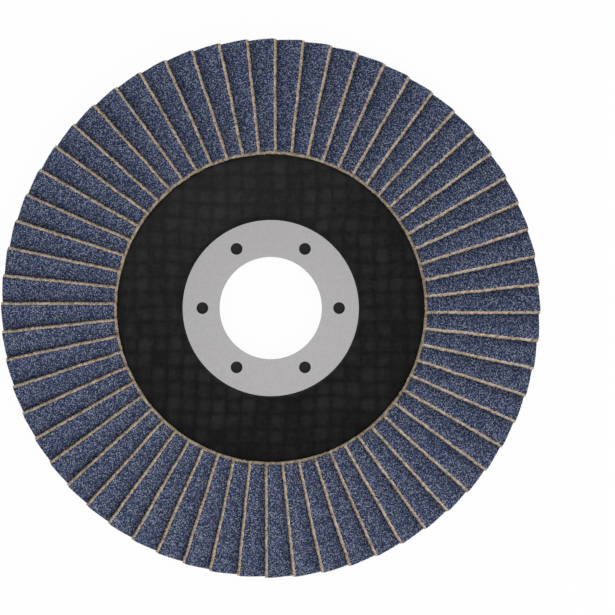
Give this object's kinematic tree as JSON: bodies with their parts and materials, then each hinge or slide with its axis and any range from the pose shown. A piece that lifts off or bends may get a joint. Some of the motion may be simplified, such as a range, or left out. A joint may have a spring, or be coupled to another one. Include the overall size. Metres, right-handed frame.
{
  "type": "flap disc",
  "caption": "Round grinding disc with a sunk hub, a steel-lined bore and overlapping blue abrasive flaps set on a conical rim.",
  "frame": {"origin": "axis of the bore, on the back face of the hub", "axes": "+Z along the bore, from the hub's back towards the grain; +X through one of the ring's anchor holes"},
  "size_m": [0.115, 0.115, 0.0132],
  "materials": {
    "glass_cloth_plate": "resin-bonded glass cloth, black, faint weave",
    "ring_steel": "pressed sheet steel, satin zinc",
    "bond_resin": "cured resin, dark",
    "abrasive_cloth": "blue abrasive grain on tan cloth"
  },
  "bodies": {
    "root": {"backing_plate": "glass_cloth_plate", "centre_ring": "ring_steel", "adhesive_bed": "bond_resin", "flap_pair_01": "abrasive_cloth", "flap_pair_02": "abrasive_cloth", "flap_pair_03": "abrasive_cloth", "flap_pair_04": "abrasive_cloth", "flap_pair_05": "abrasive_cloth", "flap_pair_06": "abrasive_cloth", "flap_pair_07": "abrasive_cloth", "flap_pair_08": "abrasive_cloth", "flap_pair_09": "abrasive_cloth", "flap_pair_10": "abrasive_cloth", "flap_pair_11": "abrasive_cloth", "flap_pair_12": "abrasive_cloth", "flap_pair_13": "abrasive_cloth", "flap_pair_14": "abrasive_cloth", "flap_pair_15": "abrasive_cloth", "flap_pair_16": "abrasive_cloth", "flap_pair_17": "abrasive_cloth", "flap_pair_18": "abrasive_cloth", "flap_pair_19": "abrasive_cloth", "flap_pair_20": "abrasive_cloth", "flap_pair_21": "abrasive_cloth", "flap_pair_22": "abrasive_cloth", "flap_pair_23": "abrasive_cloth", "flap_pair_24": "abrasive_cloth", "flap_pair_25": "abrasive_cloth", "flap_pair_26": "abrasive_cloth", "flap_pair_27": "abrasive_cloth", "flap_pair_28": "abrasive_cloth", "flap_pair_29": "abrasive_cloth", "flap_pair_30": "abrasive_cloth"}
  },
  "joints": []
}
